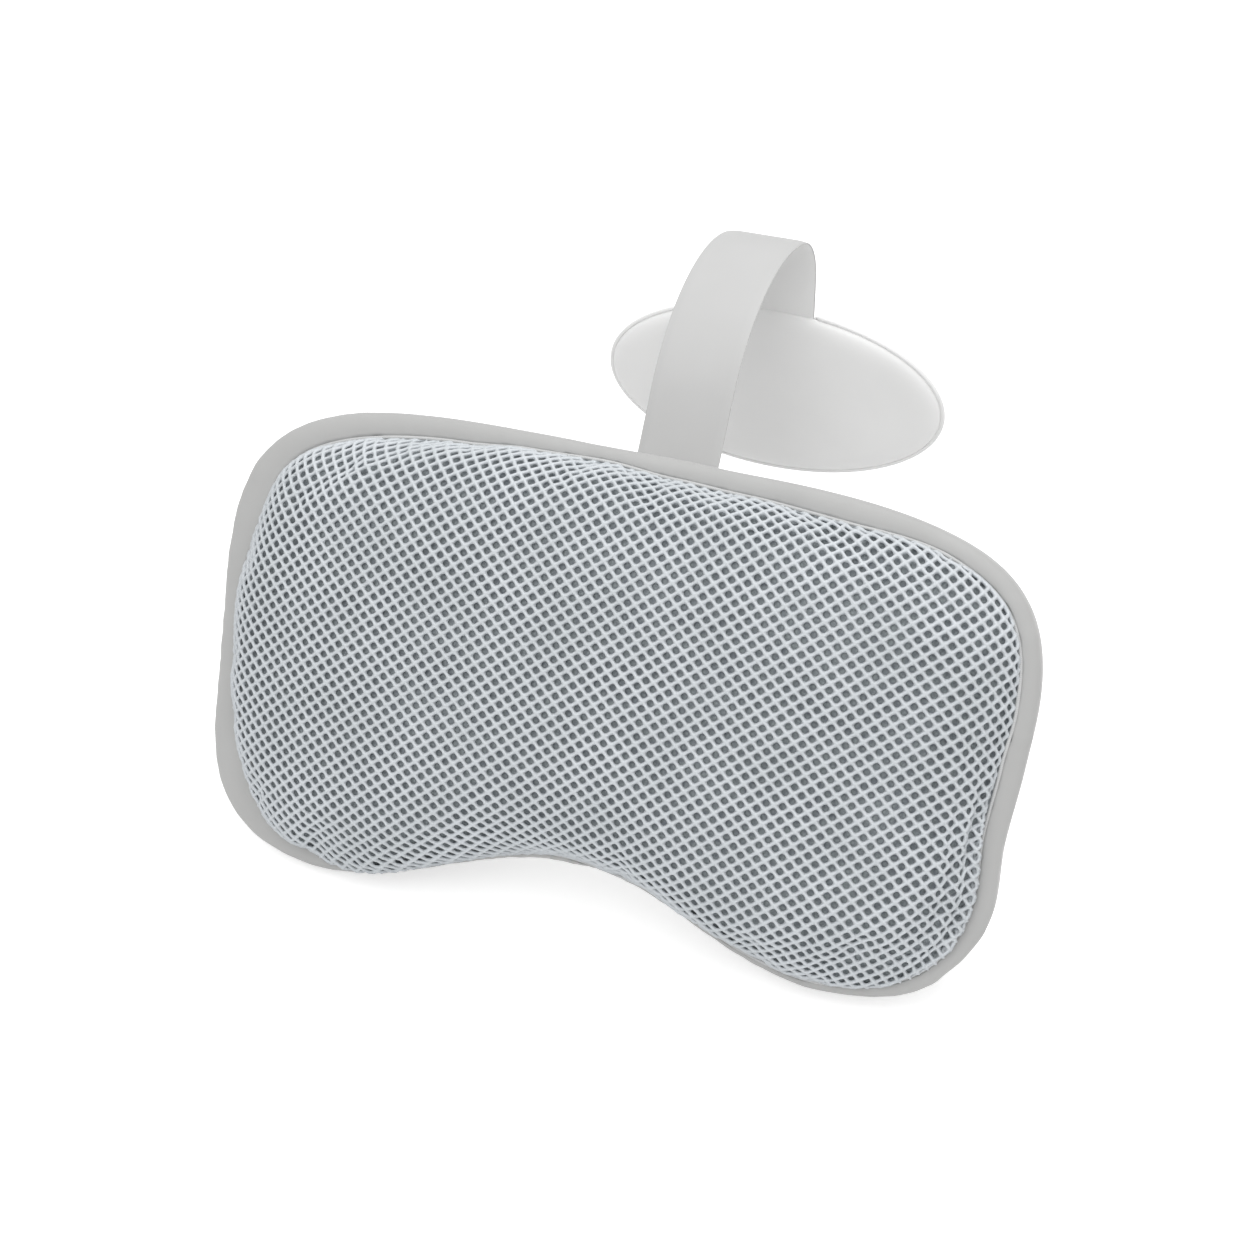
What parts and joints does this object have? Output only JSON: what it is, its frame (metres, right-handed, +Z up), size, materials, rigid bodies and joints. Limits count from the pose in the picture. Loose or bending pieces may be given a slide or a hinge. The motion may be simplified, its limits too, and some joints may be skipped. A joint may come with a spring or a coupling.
{
  "type": "bath pillow",
  "caption": "Kidney-shaped bath pillow with a domed air-mesh face, smooth side band and a strap that arches over the tub rim to an oval weighted pad.",
  "frame": {"origin": "middle of the back panel's flat outer face, where the pillow leans on the tub wall", "axes": "+X along the pillow's width, +Y from the bather towards the tub rim, +Z up"},
  "size_m": [0.3814, 0.307, 0.2378],
  "materials": {
    "foam": "matte",
    "air_mesh": "matte",
    "piping": "matte",
    "band_cloth": "matte",
    "patch": "matte",
    "strap": "satin",
    "thread": "matte",
    "pad_cloth": "satin",
    "steel": "satin"
  },
  "bodies": {
    "pillow": {"foam_core": "foam", "mesh_face": "air_mesh", "face_piping": "piping", "side_band": "band_cloth", "back_panel": "band_cloth", "back_piping": "piping", "anchor_patch": "patch", "strap_root_tab": "strap", "anchor_stitching": "thread"},
    "front_strap": {"strap_front": "strap"},
    "rear_strap": {"strap_rear": "strap"},
    "weighted_pad": {"strap_end_tab": "strap", "pad_front_cover": "pad_cloth", "pad_back_cover": "pad_cloth", "pad_edge": "pad_cloth", "weight_plate": "steel"}
  },
  "joints": [
    {"name": "strap_root", "type": "hinge", "parent": "pillow", "child": "front_strap", "pos_m": [0, 0.02985, 0.05652], "axis": [1, 0, 0], "range_deg": [-70, 8], "stiffness_Nm_per_rad": 2.5, "springref_deg": 5.32},
    {"name": "strap_crown", "type": "hinge", "parent": "front_strap", "child": "rear_strap", "pos_m": [0, 0.14697, 0.1592], "axis": [1, 0, 0], "range_deg": [-15, 70], "stiffness_Nm_per_rad": 1, "springref_deg": 4.02},
    {"name": "pad_swing", "type": "hinge", "parent": "rear_strap", "child": "weighted_pad", "pos_m": [0, 0.19815, 0.10914], "axis": [1, 0, 0], "range_deg": [-60, 60]}
  ]
}
